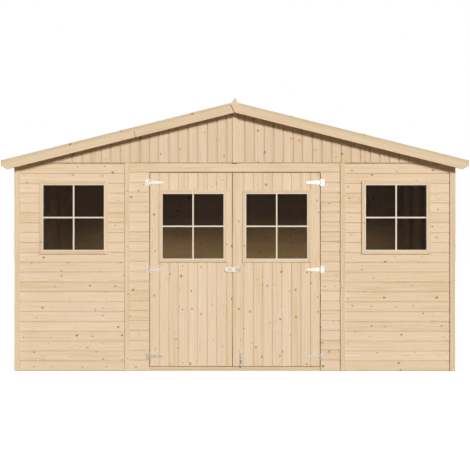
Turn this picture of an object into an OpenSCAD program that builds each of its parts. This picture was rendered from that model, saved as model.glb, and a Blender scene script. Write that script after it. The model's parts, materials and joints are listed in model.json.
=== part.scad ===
// Wooden garden shed with a double door, two fixed side windows and a low gable roof.
// X runs along the front, Y from front to back, Z up. The front faces -Y.
// The origin is on the ground under the middle of the shed. Sizes are in millimetres.

/* [Walls] */
// Width of the boarded panel on each side of the door unit
side_panel_w = 987; // [800:1:1400]
// Depth of the shed over its corner battens
wall_d = 3000; // [2000:1:3800]
// Height of the boards over the doors
header_h = 99; // [95:1:300]
// Width of the boarded strip on each side of the doors
door_side_w = 197.5; // [150:0.5:400]
// Thickness of the wall, gable and door boards
clad_t = 16; // [12:1:22]
// Depth of the frame timbers, across the wall
frame_t = 38; // [28:1:60]
// Width of the frame timbers, along the wall
frame_w = 45; // [35:1:60]

/* [Battens] */
// Thickness of the cover battens and of the window trim
trim_t = 16; // [10:1:22]
// Width of the battens at the corners
corner_batten_w = 50; // [40:1:80]
// Width of the battens over the panel joints
joint_batten_w = 45; // [30:1:70]
// How far the gable boards hang over the tops of the wall boards
gable_lap = 16; // [10:1:40]

/* [Roof] */
// Slope of the roof in degrees
roof_pitch = 14; // [11:0.5:25]
// Thickness of the roof boards
roof_t = 16; // [12:1:22]
// How far the roof reaches past the side battens
eaves_over = 96; // [40:1:200]
// How far the roof boards reach past the front and back gables
gable_over = 100; // [40:1:250]
// Purlins between the ridge and each eaves
purlin_count = 2; // [1:1:3]
// Width of the ridge beam and the purlins
purlin_w = 45; // [35:1:60]
// Height of the ridge beam and the purlins
purlin_h = 50; // [45:1:70]
// Depth of the gable rafters, measured plumb
rafter_h = 95; // [90:1:120]

/* [Barge boards] */
// Thickness of the barge boards
barge_t = 19; // [12:1:25]
// Depth of the barge boards, measured plumb
barge_h = 93; // [80:1:140]
// How far the barge boards stand above the roof boards
barge_rise = 10; // [4:1:20]
// Plumb cut at the lower end of a barge board
barge_plumb = 49; // [35:1:70]
// Length of the bevel under that cut
barge_bevel = 56; // [30:1:80]
// Width of the diamond over the apex
finial_w = 71; // [50:1:100]
// Height of the diamond
finial_h = 135; // [100:1:180]
// Height of the diamond's widest place over its foot
finial_wide_z = 70; // [50:1:90]
// Thickness of the diamond
finial_t = 16; // [10:1:22]
// How far the diamond's foot hangs below the apex of the barge boards
finial_drop = 96; // [80:1:120]

/* [Doors] */
// Width of the door opening
door_open_w = 1527; // [1200:1:1900]
// Height of a door leaf
door_leaf_h = 1725; // [1400:1:2100]
// Gap round each leaf and between the two
door_gap = 5; // [3:1:8]
// Height of the sill under the doors
sill_h = 38; // [30:1:60]
// Width of the strip on the free edge of the right leaf
strip_w = 38; // [30:1:50]
// Thickness of that strip
strip_t = 8; // [4:1:10]
// Width of the ledges behind the leaves
ledge_w = 95; // [70:1:120]
// Thickness of the ledges
ledge_t = 20; // [16:1:28]
// How far the ledges stay back from the edges of a leaf
ledge_back = 30; // [25:1:60]

/* [Door windows] */
// Height of the glass that shows in a leaf
door_glass_h = 576; // [350:1:700]
// Distance from the hinged edge of a leaf to its glass
door_glass_side = 114.5; // [90:0.5:200]
// Distance from the middle of the shed to the glass of each leaf
door_glass_mid = 101; // [90:1:200]
// Distance from the top of a leaf to its glass
door_glass_top = 189; // [150:1:300]
// Width of the trim round that glass
door_trim_w = 34; // [20:1:40]
// Thickness of that trim
door_trim_t = 12; // [8:1:16]

/* [Side windows] */
// Width of the glass that shows
win_w = 540; // [300:1:650]
// Height of the glass that shows
win_h = 576; // [300:1:700]
// Distance from the top of the wall boards to the glass
win_drop = 215; // [150:1:400]
// How far a window sits from the middle of its panel towards the doors
win_shift = 18; // [0:1:40]
// Width of the trim round the glass
win_trim_w = 38; // [25:1:50]
// Thickness of the glass, in the doors too
glass_t = 4; // [3:1:6]
// How far the glass reaches behind the trim
glass_seat = 8; // [5:1:12]
// Gap between the edge of the glass and the boards
glass_gap = 1; // [0.5:0.5:2]

/* [Floor] */
// Height of the floor bearers
bearer_h = 22; // [20:1:45]
// Width of the floor bearers
bearer_w = 70; // [45:1:100]
// Number of floor bearers, an odd one so that one is in the middle
bearer_count = 7; // [5:2:11]

/* [Hinges] */
// Distance from the top of a leaf to the middle of its top hinge
hinge_top = 86; // [70:1:120]
// Distance from the foot of a leaf to the middle of its bottom hinge
hinge_foot = 88; // [70:1:120]
// Distance from the glass of a leaf to its middle hinge, below it
hinge_mid = 97; // [95:1:150]
// Distance of the hinge pins in front of the boards
hinge_off = 6; // [5.5:0.5:8]
// Radius of the hinge knuckles
hinge_r = 5; // [4.5:0.5:5]
// Radius of the hinge pins
pin_r = 2.5; // [2:0.1:3]
// Radial clearance of the knuckles that turn on a pin
pin_gap = 0.1; // [0.05:0.05:0.2]
// Thickness of the hinge plates and straps
hinge_t = 3; // [2:0.5:3]
// Height of the wall plate of a hinge
hinge_plate_h = 57; // [45:1:80]
// Width of the wall plate of a hinge
hinge_plate_w = 28; // [20:1:40]
// Length of a strap from the pin to the middle of its round end
strap_l = 116; // [80:1:200]
// Width of a strap at the pin
strap_w = 36; // [30:1:50]
// Width of a strap at its round end
strap_end_w = 18; // [12:1:25]
// Length of the turning knuckle of a hinge
knuckle_l = 27; // [20:1:35]
// Gap between knuckles along the pin
knuckle_gap = 0.5; // [0.3:0.1:1]

/* [Hasp] */
// Place of the hasp pin to the right of the middle
hasp_pin_x = 11; // [8:1:14]
// Radius of the hasp knuckles
hasp_r = 4; // [3:0.5:5]
// Radius of the hasp pin
hasp_pin_r = 1.5; // [1:0.1:2]
// Gap between the closed flap and the strip
hasp_clear = 2; // [1.5:0.5:4]
// Height of the hasp
hasp_h = 42; // [30:1:60]
// Thickness of the hasp plate and flap
hasp_t = 2.5; // [2:0.5:3]
// Width of the hasp plate
hasp_plate_w = 31; // [25:1:45]
// Length of the flap from its pin
flap_l = 103; // [90:1:120]
// Length of the slot in the flap
slot_l = 40; // [36:1:44]
// Height of the slot in the flap
slot_h = 9; // [8:1:12]
// Distance from the hasp pin to the middle of the slot
slot_x = 58; // [50:1:70]
// Radius of the staple's wire
staple_wire_r = 2; // [1.5:0.5:2.5]
// Distance between the staple's legs, centre to centre
staple_w = 20; // [16:1:24]
// How far the staple's legs reach in front of the boards
staple_leg = 18; // [16:1:25]
// Width of the staple's plate
staple_plate_w = 40; // [34:1:50]
// Height of the staple's plate
staple_plate_h = 30; // [20:1:40]

/* [Bolt] */
// Place of the bolt to the right of the middle
bolt_x = 52; // [45:1:70]
// Radius of the bolt's rod
rod_r = 5; // [4:0.5:6]
// Length of the rod
rod_l = 146; // [140:1:180]
// How far the rod's end hangs below the top of the sill
rod_drop = 5; // [0:1:20]
// Gap round the rod in its keepers
rod_gap = 0.3; // [0.1:0.1:0.5]
// Width of the bolt's plate
bolt_plate_w = 32; // [28:1:40]
// Height of the bolt's plate
bolt_plate_h = 132; // [130:1:160]
// Thickness of the bolt's plate
bolt_plate_t = 2; // [1.5:0.5:3]
// Height of a keeper
keeper_h = 12; // [8:1:14]
// Width of a keeper
keeper_w = 18; // [16:1:24]
// Wall of a keeper round the rod
keeper_wall = 2; // [1.5:0.5:3]
// Height of the knob over the foot of the plate
knob_z = 79; // [78:1:82]
// Radius of the knob
knob_r = 4; // [3:0.5:5]
// Length of the knob in front of the rod
knob_l = 14; // [8:1:20]

/* [Hidden] */
$fn = 48;

pine = [0.89, 0.80, 0.67];
pine_frame = [0.86, 0.76, 0.61];
zinc = [0.80, 0.80, 0.78];
pane = [0.25, 0.24, 0.22, 0.6];

// Planes of the front, from outside in
face_y = -wall_d / 2;
boards_y = face_y + trim_t;
frame_y = boards_y + clad_t;
room_y = frame_y + frame_t;

// Planes of the right wall, from the door unit out
open_x = door_open_w / 2;
joint_x = open_x + door_side_w;
boards_x = joint_x + side_panel_w;
face_x = boards_x + trim_t;
frame_x = boards_x - clad_t;
room_x = frame_x - frame_t;

// Heights of the doors and walls
leaf_foot = sill_h + door_gap;
leaf_top = leaf_foot + door_leaf_h;
door_head = leaf_top + door_gap;
wall_h = door_head + header_h;
gable_foot = wall_h - gable_lap;
top_rail_z = wall_h - frame_w;

// Door leaves: the seam lies along the left side of the strip
leaf_x = open_x - door_gap;
right_edge_x = -strip_w / 2;
left_edge_x = right_edge_x - door_gap;
hinge_x = open_x - door_gap / 2;
pin_y = boards_y - hinge_off;

// Glass in the doors and in the side panels
door_glass_z = leaf_top - door_glass_top - door_glass_h;
door_glass_x = [door_glass_mid, leaf_x - door_glass_side];
win_z = wall_h - win_drop - win_h;
win_x = joint_x + side_panel_w / 2 - win_shift;
hole_grow = glass_seat + glass_gap;

// Heights of the hinges, ledges and hasp
mid_hinge_z = door_glass_z - hinge_mid;
hinge_zs = [leaf_foot + hinge_foot, mid_hinge_z, leaf_top - hinge_top];
hasp_z = mid_hinge_z;
hasp_off = strip_t + hasp_clear + hasp_r;
hasp_pin_y = boards_y - hasp_off;
slot_mid_x = hasp_pin_x - slot_x;
hasp_edge_x = strip_w / 2 + 1;
flap_flat_x = hasp_r + 1;
rod_y = boards_y - bolt_plate_t - 1 - rod_r;
bolt_plate_z = leaf_foot + 4;
keeper_zs = [6, 52, 118];

// Roof
slope = tan(roof_pitch);
ridge_z = wall_h + slope * boards_x;
roof_plumb = roof_t / cos(roof_pitch);
roof_x = face_x + eaves_over;
roof_y = face_y - gable_over;
barge_y = roof_y - barge_t;
barge_top = ridge_z + roof_plumb + barge_rise;
ridge_foot = ridge_z - purlin_h;
tie_z = wall_h + frame_w;
gable_frame_y = [boards_y, boards_y + frame_t];
purlin_xs = [for (i = [1:purlin_count]) i * boards_x / (purlin_count + 1)];

function under_roof(x) = ridge_z - slope * abs(x);
function roof_reach(z) = (ridge_z - z) / slope;

// ---- Shared shapes ----

// A block between two places along each axis
module block(x, y, z)
    translate([x[0], y[0], z[0]]) cube([x[1] - x[0], y[1] - y[0], z[1] - z[0]]);

// An outline drawn in X and Z, made solid between two places along Y
module across(y)
    translate([0, y[1], 0]) rotate([90, 0, 0]) linear_extrude(y[1] - y[0]) children();

module both_sides() {
    children();
    mirror([1, 0, 0]) children();
}

module both_ends() {
    children();
    mirror([0, 1, 0]) children();
}

// A ring of trim round a pane, seen from the front
module ring(x, y, z, w) difference() {
    block([x[0] - w, x[1] + w], y, [z[0] - w, z[1] + w]);
    block(x, [y[0] - 1, y[1] + 1], z);
}

module grown_block(x, y, z, grow)
    block([x[0] - grow, x[1] + grow], y, [z[0] - grow, z[1] + grow]);

// Outlines of the purlins over one side, from their feet to just over the slope that they carry
module purlin_outlines(up)
    for (x = purlin_xs) {
        near = x - purlin_w / 2;
        far = x + purlin_w / 2;
        foot = under_roof(x) - purlin_h;
        polygon([[near, foot], [far, foot], [far, under_roof(far) + up], [near, under_roof(near) + up]]);
    }

module ridge_outline(up)
    polygon([
        [-purlin_w / 2, ridge_foot], [purlin_w / 2, ridge_foot],
        [purlin_w / 2, under_roof(purlin_w / 2) + up], [0, ridge_z + up],
        [-purlin_w / 2, under_roof(purlin_w / 2) + up]
    ]);

// ---- Floor ----

module floor_bearers() color(pine_frame)
    for (i = [0:bearer_count - 1]) {
        middle = (2 * i / (bearer_count - 1) - 1) * (-room_y - bearer_w / 2);
        block([-room_x, room_x], [middle - bearer_w / 2, middle + bearer_w / 2], [0, bearer_h]);
    }

module floor_boards() color(pine)
    block([-room_x, room_x], [room_y, -room_y], [bearer_h, bearer_h + clad_t]);

// ---- Front wall ----

module front_right_boards() color(pine) difference() {
    block([joint_x, boards_x], [boards_y, frame_y], [0, wall_h]);
    grown_block([win_x - win_w / 2, win_x + win_w / 2], [boards_y - 1, frame_y + 1],
        [win_z, win_z + win_h], hole_grow);
}

module front_left_boards() mirror([1, 0, 0]) front_right_boards();

module door_side_boards() color(pine) both_sides()
    block([open_x, joint_x], [boards_y, frame_y], [0, door_head]);

module door_header() color(pine)
    block([-joint_x, joint_x], [boards_y, frame_y], [door_head, wall_h]);

module door_sill() color(pine_frame)
    block([-open_x, open_x], [frame_y, room_y], [0, sill_h]);

// ---- Other walls ----

// The tops of the side boards are bevelled to the slope of the roof
module right_wall_boards() color(pine) across([frame_y, -frame_y])
    polygon([[frame_x, 0], [boards_x, 0], [boards_x, wall_h], [frame_x, under_roof(frame_x)]]);

module left_wall_boards() mirror([1, 0, 0]) right_wall_boards();

module back_wall_boards() color(pine)
    block([-boards_x, boards_x], [-frame_y, -boards_y], [0, wall_h]);

// ---- Wall frames ----

// Posts of one half of an end wall, by their middles
module end_posts(middles)
    for (x = middles)
        block([x - frame_w / 2, x + frame_w / 2], [frame_y, room_y], [frame_w, top_rail_z]);

module end_wall_posts() color(pine_frame) {
    jamb = win_w / 2 + hole_grow + frame_w / 2;
    corner = frame_x - frame_w / 2;
    both_sides() {
        end_posts([open_x + frame_w / 2, joint_x, win_x - jamb, win_x + jamb, corner]);
        mirror([0, 1, 0]) end_posts([joint_x, corner]);
    }
    mirror([0, 1, 0]) end_posts([0]);
}

module end_wall_rails() color(pine_frame) {
    win_hole = [win_x - win_w / 2 - hole_grow, win_x + win_w / 2 + hole_grow];
    both_ends() block([-frame_x, frame_x], [frame_y, room_y], [top_rail_z, wall_h]);
    mirror([0, 1, 0]) block([-frame_x, frame_x], [frame_y, room_y], [0, frame_w]);
    block([-open_x, open_x], [frame_y, room_y], [door_head, door_head + frame_w]);
    both_sides() {
        block([open_x, frame_x], [frame_y, room_y], [0, frame_w]);
        block(win_hole, [frame_y, room_y], [win_z - hole_grow - frame_w, win_z - hole_grow]);
        block(win_hole, [frame_y, room_y],
            [win_z + win_h + hole_grow, win_z + win_h + hole_grow + frame_w]);
    }
}

module side_wall_posts() color(pine_frame) both_sides() {
    corner = -room_y - frame_w / 2;
    for (y = [-corner, -corner / 2, 0, corner / 2, corner])
        block([room_x, frame_x], [y - frame_w / 2, y + frame_w / 2], [frame_w, top_rail_z]);
}

module side_wall_rails() color(pine_frame) both_sides() {
    block([room_x, frame_x], [room_y, -room_y], [0, frame_w]);
    across([room_y, -room_y]) polygon([
        [room_x, top_rail_z], [frame_x, top_rail_z],
        [frame_x, under_roof(frame_x)], [room_x, under_roof(room_x)]
    ]);
}

// ---- Battens ----

module end_wall_battens() color(pine) both_ends() {
    both_sides() {
        block([face_x - corner_batten_w, face_x], [face_y, boards_y], [0, gable_foot]);
        block([joint_x - joint_batten_w / 2, joint_x + joint_batten_w / 2],
            [face_y, boards_y], [0, gable_foot]);
    }
    block([-joint_batten_w / 2, joint_batten_w / 2], [face_y - trim_t, face_y],
        [gable_foot, ridge_foot]);
}

module side_wall_battens() color(pine) both_sides() {
    corner = [boards_y, boards_y + corner_batten_w];
    for (y = [corner, [-joint_batten_w / 2, joint_batten_w / 2], [-corner[1], -corner[0]]])
        across(y) polygon([
            [boards_x, 0], [face_x, 0], [face_x, under_roof(face_x)], [boards_x, wall_h]
        ]);
}

// ---- Gables ----

module front_gable_boards() color(pine) across([face_y, boards_y]) difference() {
    polygon([
        [-face_x, gable_foot], [face_x, gable_foot], [face_x, under_roof(face_x)],
        [0, ridge_z], [-face_x, under_roof(face_x)]
    ]);
    ridge_outline(up = 1);
    both_sides() purlin_outlines(up = 1);
}

module back_gable_boards() mirror([0, 1, 0]) front_gable_boards();

// The ties end between the side boards
module gable_ties() color(pine_frame) both_ends() across(gable_frame_y)
    polygon([
        [-frame_x, wall_h], [frame_x, wall_h],
        [frame_x, under_roof(frame_x)], [roof_reach(tie_z), tie_z],
        [-roof_reach(tie_z), tie_z], [-frame_x, under_roof(frame_x)]
    ]);

module gable_rafters() color(pine_frame) both_ends() both_sides() across(gable_frame_y)
    difference() {
        polygon([
            [purlin_w / 2, under_roof(purlin_w / 2)], [roof_reach(tie_z), tie_z],
            [roof_reach(tie_z + rafter_h), tie_z], [purlin_w / 2, under_roof(purlin_w / 2) - rafter_h]
        ]);
        purlin_outlines(up = 1);
    }

module gable_posts() color(pine_frame) both_ends() {
    block([-purlin_w / 2, purlin_w / 2], gable_frame_y, [tie_z, ridge_foot]);
    near = purlin_xs[0] - frame_w / 2;
    far = purlin_xs[0] + frame_w / 2;
    both_sides() across(gable_frame_y) polygon([
        [near, tie_z], [far, tie_z],
        [far, under_roof(far) - rafter_h], [near, under_roof(near) - rafter_h]
    ]);
}

// ---- Roof ----

module roof_outline()
    polygon([
        [0, ridge_z], [roof_x, under_roof(roof_x)],
        [roof_x, under_roof(roof_x) + roof_plumb], [0, ridge_z + roof_plumb]
    ]);

// The roof boards cut the tops of the beams, so that the two meet in one plane
module purlins() color(pine_frame) across([roof_y, -roof_y]) difference() {
    union() {
        ridge_outline(up = 1);
        both_sides() purlin_outlines(up = 1);
    }
    both_sides() roof_outline();
}

module roof_right() color(pine) across([roof_y, -roof_y]) roof_outline();

module roof_left() mirror([1, 0, 0]) roof_right();

module right_barge_boards() color(pine) both_ends() across([barge_y, roof_y]) {
    end_top = barge_top - slope * roof_x;
    polygon([
        [0, barge_top], [roof_x, end_top], [roof_x, end_top - barge_plumb],
        [roof_x - barge_bevel, end_top + slope * barge_bevel - barge_h], [0, barge_top - barge_h]
    ]);
}

module left_barge_boards() mirror([1, 0, 0]) right_barge_boards();

module finials() color(pine) both_ends() across([barge_y - finial_t, barge_y])
    translate([0, barge_top - finial_drop]) polygon([
        [0, 0], [finial_w / 2, finial_wide_z], [0, finial_h], [-finial_w / 2, finial_wide_z]
    ]);

// ---- Side windows ----

module window_trim() color(pine) both_sides()
    ring([win_x - win_w / 2, win_x + win_w / 2], [boards_y - trim_t, boards_y],
        [win_z, win_z + win_h], win_trim_w);

module window_glass() color(pane) both_sides()
    grown_block([win_x - win_w / 2, win_x + win_w / 2], [boards_y, boards_y + glass_t],
        [win_z, win_z + win_h], glass_seat);

// ---- Doors ----

// A leaf between its free edge and its hinged edge, seen as the right one
module leaf_boards(free_x) color(pine) difference() {
    block([free_x, leaf_x], [boards_y, frame_y], [leaf_foot, leaf_top]);
    grown_block(door_glass_x, [boards_y - 1, frame_y + 1],
        [door_glass_z, door_glass_z + door_glass_h], hole_grow);
}

module leaf_ledges(free_x) color(pine_frame)
    for (z = hinge_zs)
        block([free_x + ledge_back, leaf_x - ledge_back], [frame_y, frame_y + ledge_t],
            [z - ledge_w / 2, z + ledge_w / 2]);

module leaf_trim() color(pine)
    ring(door_glass_x, [boards_y - door_trim_t, boards_y],
        [door_glass_z, door_glass_z + door_glass_h], door_trim_w);

module leaf_glass() color(pane)
    grown_block(door_glass_x, [boards_y, boards_y + glass_t],
        [door_glass_z, door_glass_z + door_glass_h], glass_seat);

module right_door_boards() leaf_boards(right_edge_x);
module right_door_ledges() leaf_ledges(right_edge_x);
module right_door_trim() leaf_trim();
module right_door_glass() leaf_glass();
module left_door_boards() mirror([1, 0, 0]) leaf_boards(-left_edge_x);
module left_door_ledges() mirror([1, 0, 0]) leaf_ledges(-left_edge_x);
module left_door_trim() mirror([1, 0, 0]) leaf_trim();
module left_door_glass() mirror([1, 0, 0]) leaf_glass();

module door_strip() color(pine)
    block([right_edge_x, strip_w / 2], [boards_y - strip_t, boards_y], [leaf_foot, leaf_top]);

// ---- Hinges ----

// Each is drawn about its own pin, with the wall on the right and the leaf on the left
module at_hinges()
    for (z = hinge_zs) translate([hinge_x, pin_y, z]) children();

module knuckle(r, z) translate([0, 0, z[0]]) cylinder(r = r, h = z[1] - z[0]);

module hinge_plate() {
    flat_x = hinge_r + 2;
    plate_y = [hinge_off - hinge_t, hinge_off];
    inner = knuckle_l / 2 + knuckle_gap;
    block([flat_x, flat_x + hinge_plate_w], plate_y, [-hinge_plate_h / 2, hinge_plate_h / 2]);
    for (z = [[inner, hinge_plate_h / 2], [-hinge_plate_h / 2, -inner]]) {
        knuckle(hinge_r, z);
        block([1, flat_x], plate_y, z);
    }
    knuckle(pin_r, [-hinge_plate_h / 2, hinge_plate_h / 2]);
}

module hinge_strap() {
    flat_x = hinge_r + 2;
    plate_y = [hinge_off - hinge_t, hinge_off];
    difference() {
        union() {
            knuckle(hinge_r, [-knuckle_l / 2, knuckle_l / 2]);
            block([-flat_x, -1], plate_y, [-knuckle_l / 2, knuckle_l / 2]);
            across(plate_y) {
                polygon([
                    [-flat_x, -strap_w / 2], [-flat_x, strap_w / 2],
                    [-strap_l, strap_end_w / 2], [-strap_l, -strap_end_w / 2]
                ]);
                translate([-strap_l, 0]) circle(strap_end_w / 2);
            }
        }
        knuckle(pin_r + pin_gap, [-knuckle_l, knuckle_l]);
    }
}

module hinge_plates() color(zinc) both_sides() at_hinges() hinge_plate();
module right_hinge_straps() color(zinc) at_hinges() hinge_strap();
module left_hinge_straps() mirror([1, 0, 0]) right_hinge_straps();

// ---- Hasp and staple ----

module hasp_flap() color(zinc) translate([hasp_pin_x, hasp_pin_y, hasp_z]) {
    flap_y = [hasp_r - hasp_t, hasp_r];
    round_x = hasp_h / 2 - flap_l;
    slot_end = (slot_l - slot_h) / 2;
    turning = [-hasp_h / 6, hasp_h / 6];
    difference() {
        union() {
            knuckle(hasp_r, turning);
            block([-flap_flat_x, -1], flap_y, turning);
            across(flap_y) difference() {
                union() {
                    translate([round_x, -hasp_h / 2]) square([-flap_flat_x - round_x, hasp_h]);
                    translate([round_x, 0]) circle(hasp_h / 2);
                }
                translate([-slot_x - slot_end, -slot_h / 2]) square([2 * slot_end, slot_h]);
                for (end = [-1, 1]) translate([end * slot_end - slot_x, 0]) circle(slot_h / 2);
            }
        }
        knuckle(hasp_pin_r + pin_gap, [-hasp_h, hasp_h]);
    }
}

// The plate is cranked, so that its knuckles stand in front of the strip
module hasp_plate() color(zinc) {
    inner = hasp_h / 6 + knuckle_gap;
    web_y = [hasp_pin_y + hasp_r - hasp_t, hasp_pin_y + hasp_r];
    heights = [hasp_z - hasp_h / 2, hasp_z + hasp_h / 2];
    block([hasp_edge_x, hasp_edge_x + hasp_plate_w], [boards_y - hasp_t, boards_y], heights);
    block([hasp_edge_x, hasp_edge_x + hasp_t], [web_y[0], boards_y], heights);
    for (z = [[inner, hasp_h / 2], [-hasp_h / 2, -inner]]) {
        translate([hasp_pin_x, hasp_pin_y, hasp_z]) knuckle(hasp_r, z);
        block([hasp_pin_x + 1, hasp_edge_x + hasp_t], web_y, [hasp_z + z[0], hasp_z + z[1]]);
    }
    translate([hasp_pin_x, hasp_pin_y, 0]) knuckle(hasp_pin_r, heights);
}

module hasp_staple() color(zinc) translate([slot_mid_x, boards_y, hasp_z]) {
    block([-staple_plate_w / 2, staple_plate_w / 2], [-hasp_t, 0],
        [-staple_plate_h / 2, staple_plate_h / 2]);
    for (end = [-1, 1]) translate([end * staple_w / 2, 0, 0]) rotate([90, 0, 0])
        cylinder(r = staple_wire_r, h = staple_leg);
    translate([0, -staple_leg, 0]) rotate([0, 0, 180]) rotate_extrude(angle = 180)
        translate([staple_w / 2, 0]) circle(staple_wire_r);
}

// ---- Bolt ----

module bolt_plate() color(zinc) translate([bolt_x, 0, bolt_plate_z]) difference() {
    union() {
        block([-bolt_plate_w / 2, bolt_plate_w / 2], [boards_y - bolt_plate_t, boards_y],
            [0, bolt_plate_h]);
        for (z = keeper_zs)
            block([-keeper_w / 2, keeper_w / 2], [rod_y - rod_r - keeper_wall, boards_y],
                [z, z + keeper_h]);
    }
    translate([0, rod_y, -1]) cylinder(r = rod_r + rod_gap, h = bolt_plate_h + 2);
}

module bolt_rod() color(zinc) translate([bolt_x, rod_y, 0]) {
    knuckle(rod_r, [sill_h - rod_drop, sill_h - rod_drop + rod_l]);
    translate([0, 0, bolt_plate_z + knob_z]) rotate([90, 0, 0])
        cylinder(r = knob_r, h = rod_r + knob_l);
}

floor_bearers();
floor_boards();
front_left_boards();
front_right_boards();
door_side_boards();
door_header();
door_sill();
left_wall_boards();
right_wall_boards();
back_wall_boards();
end_wall_posts();
end_wall_rails();
side_wall_posts();
side_wall_rails();
end_wall_battens();
side_wall_battens();
front_gable_boards();
back_gable_boards();
gable_ties();
gable_rafters();
gable_posts();
purlins();
roof_left();
roof_right();
left_barge_boards();
right_barge_boards();
finials();
window_trim();
window_glass();
left_door_boards();
left_door_ledges();
left_door_trim();
left_door_glass();
right_door_boards();
right_door_ledges();
right_door_trim();
right_door_glass();
door_strip();
hinge_plates();
left_hinge_straps();
right_hinge_straps();
hasp_staple();
hasp_plate();
hasp_flap();
bolt_plate();
bolt_rod();
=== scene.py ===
# Wooden garden shed: planed spruce boards on a spruce frame, grey float glass, zinc-plated ironmongery.
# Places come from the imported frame, in metres: X along the front, Y from front to back, Z up.
import math
import random

import bmesh
import bpy
from mathutils import Matrix, Vector
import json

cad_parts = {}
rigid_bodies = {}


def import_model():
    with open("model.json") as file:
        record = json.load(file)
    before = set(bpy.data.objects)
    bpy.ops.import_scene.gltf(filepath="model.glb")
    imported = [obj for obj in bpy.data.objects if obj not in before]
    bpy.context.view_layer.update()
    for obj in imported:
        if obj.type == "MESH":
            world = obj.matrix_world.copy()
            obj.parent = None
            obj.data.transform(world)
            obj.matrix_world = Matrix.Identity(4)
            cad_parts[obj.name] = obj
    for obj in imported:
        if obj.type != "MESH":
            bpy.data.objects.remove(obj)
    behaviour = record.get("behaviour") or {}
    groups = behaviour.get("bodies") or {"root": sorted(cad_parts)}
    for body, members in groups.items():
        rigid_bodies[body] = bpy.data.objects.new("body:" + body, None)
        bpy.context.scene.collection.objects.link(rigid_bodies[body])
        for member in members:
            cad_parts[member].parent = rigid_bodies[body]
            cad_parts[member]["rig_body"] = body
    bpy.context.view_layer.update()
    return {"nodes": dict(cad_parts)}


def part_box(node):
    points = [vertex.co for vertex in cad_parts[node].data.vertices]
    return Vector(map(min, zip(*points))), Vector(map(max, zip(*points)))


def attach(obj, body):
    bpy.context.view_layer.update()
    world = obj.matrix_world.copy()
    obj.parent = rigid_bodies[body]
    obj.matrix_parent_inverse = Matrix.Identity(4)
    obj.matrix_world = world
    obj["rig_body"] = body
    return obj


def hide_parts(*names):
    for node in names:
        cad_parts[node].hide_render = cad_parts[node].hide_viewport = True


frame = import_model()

mm = 0.001
acrossFront = Vector((1, 0, 0))
backwards = Vector((0, 1, 0))
upwards = Vector((0, 0, 1))


# Materials are written in sRGB hex and turned to linear here
def linear(hexColour):
    channels = [int(hexColour[i:i + 2], 16) / 255 for i in (1, 3, 5)]
    return [*[c / 12.92 if c <= 0.04045 else ((c + 0.055) / 1.055) ** 2.4 for c in channels], 1]


def addNode(tree, kind, settings=None, inputs=None, stops=()):
    node = tree.nodes.new("ShaderNode" + kind)
    for name, value in (settings or {}).items():
        setattr(node, name, value)
    for socket, value in (inputs or {}).items():
        if isinstance(value, bpy.types.NodeSocket):
            tree.links.new(value, node.inputs[socket])
        else:
            node.inputs[socket].default_value = value
    for place, (position, hexColour) in enumerate(stops):
        elements = node.color_ramp.elements
        element = elements[place] if place < 2 else elements.new(position)
        element.position = position
        element.color = linear(hexColour)
    return node


def startMaterial(name):
    material = bpy.data.materials.new(name)
    material.use_nodes = True
    material.node_tree.nodes.clear()
    return material, material.node_tree


# A pattern's size across and along the grain, in metres
def grainSize(across, along):
    return across * mm, along * mm, across * mm


# Knots sit in a loose net of cells along each board. Gives the distance to one in its own radii, its
# mask, and how far it pushes the growth rings aside
def addKnots(tree, grain, look):
    cell = (look["knotAcross"] * mm, look["knotAlong"] * mm, 1)
    place = addNode(tree, "VectorMath", {"operation": "DIVIDE"}, {0: grain, 1: cell}).outputs[0]
    cells = addNode(tree, "TexVoronoi", {"voronoi_dimensions": "2D"},
                    {"Vector": place, "Scale": 1.0, "Randomness": look["knotScatter"]})
    apart = addNode(tree, "VectorMath", {"operation": "SUBTRACT"},
                    {0: place, 1: cells.outputs["Position"]}).outputs[0]
    flat = addNode(tree, "VectorMath", {"operation": "MULTIPLY"},
                   {0: apart, 1: (cell[0], cell[1] / look["knotStretch"], 0)}).outputs[0]
    distance = addNode(tree, "VectorMath", {"operation": "LENGTH"}, {0: flat}).outputs["Value"]
    dice = addNode(tree, "SeparateColor", {}, {0: cells.outputs["Color"]})
    chance = dice.outputs[0]
    radius = addNode(tree, "MapRange", {}, {
        "Value": chance, "From Min": 1 - look["knotShare"], "From Max": 1.0,
        "To Min": look["knotLeast"] * mm, "To Max": look["knotRadius"] * mm}).outputs[0]
    ratio = addNode(tree, "Math", {"operation": "DIVIDE"}, {0: distance, 1: radius}).outputs[0]
    inside, outside = look["knotEdge"]
    edge = addNode(tree, "MapRange", {"interpolation_type": "SMOOTHSTEP"}, {
        "Value": ratio, "From Min": inside, "From Max": outside, "To Min": 1.0, "To Max": 0.0}).outputs[0]
    depth = addNode(tree, "MapRange", {}, {
        "Value": dice.outputs[1], "To Min": look["knotFaintest"], "To Max": 1.0}).outputs[0]
    mask = addNode(tree, "Math", {"operation": "MULTIPLY"}, {0: edge, 1: depth}).outputs[0]
    fall = addNode(tree, "Math", {"operation": "MULTIPLY"}, {0: ratio, 1: -look["knotFall"]}).outputs[0]
    hump = addNode(tree, "Math", {"operation": "EXPONENT"}, {0: fall}).outputs[0]
    push = addNode(tree, "Math", {"operation": "MULTIPLY"}, {0: hump, 1: radius}).outputs[0]
    return ratio, mask, push


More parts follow.
